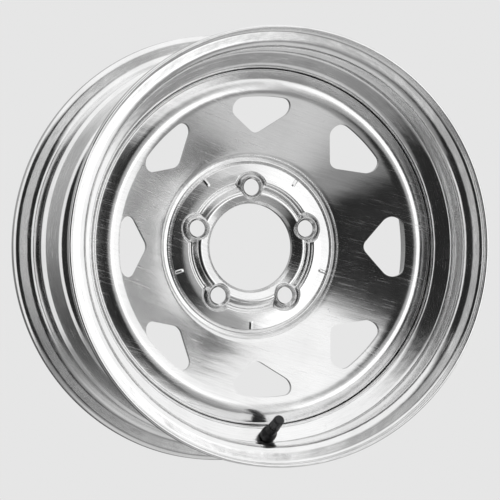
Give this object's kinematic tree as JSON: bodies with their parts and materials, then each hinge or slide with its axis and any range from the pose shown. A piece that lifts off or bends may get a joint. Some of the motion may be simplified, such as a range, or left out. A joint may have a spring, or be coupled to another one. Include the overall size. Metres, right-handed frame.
{
  "type": "steel wheel rim",
  "caption": "Pressed steel trailer wheel: rolled drop-centre rim with a windowed centre disc welded in, tapered nut seats, a centre bore and a rubber snap-in tyre valve.",
  "frame": {"origin": "centre of the hub mounting face, which is also the rim's centre plane and the centre of the bounding box", "axes": "+Z is the wheel's axis and points outboard, towards the nut seats; -Y is the side of the tyre valve; +X completes a right-handed frame"},
  "size_m": [0.4149, 0.415, 0.2032],
  "materials": {
    "zinc_steel": "hot-dip zinc on rolled steel, satin, with faint rolling grain and stains",
    "weld_steel": "weld bead under the same zinc",
    "rubber": "matte black moulded rubber",
    "brass": "turned brass",
    "pin_steel": "drawn steel wire",
    "cap_plastic": "moulded black plastic"
  },
  "bodies": {
    "wheel": {"rim_barrel": "zinc_steel", "wheel_disc": "zinc_steel", "disc_welds": "weld_steel", "valve_stem": "rubber", "valve_insert": "brass", "core_body": "brass", "core_seal": "rubber", "core_spring": "pin_steel"},
    "valve_pin": {"core_pin": "pin_steel", "core_cup": "rubber"},
    "cap": {"valve_cap": "cap_plastic"}
  },
  "joints": [
    {"name": "cap_slide", "type": "slide", "parent": "wheel", "child": "cap", "axis": [0, 0.4067, 0.9135], "range_m": [0, 0.014]},
    {"name": "pin_press", "type": "slide", "parent": "wheel", "child": "valve_pin", "axis": [0, 0.4067, 0.9135], "range_m": [-0.0012, 0], "stiffness_N_per_m": 500, "springref_m": 0.002, "deforming": ["core_spring"]}
  ]
}
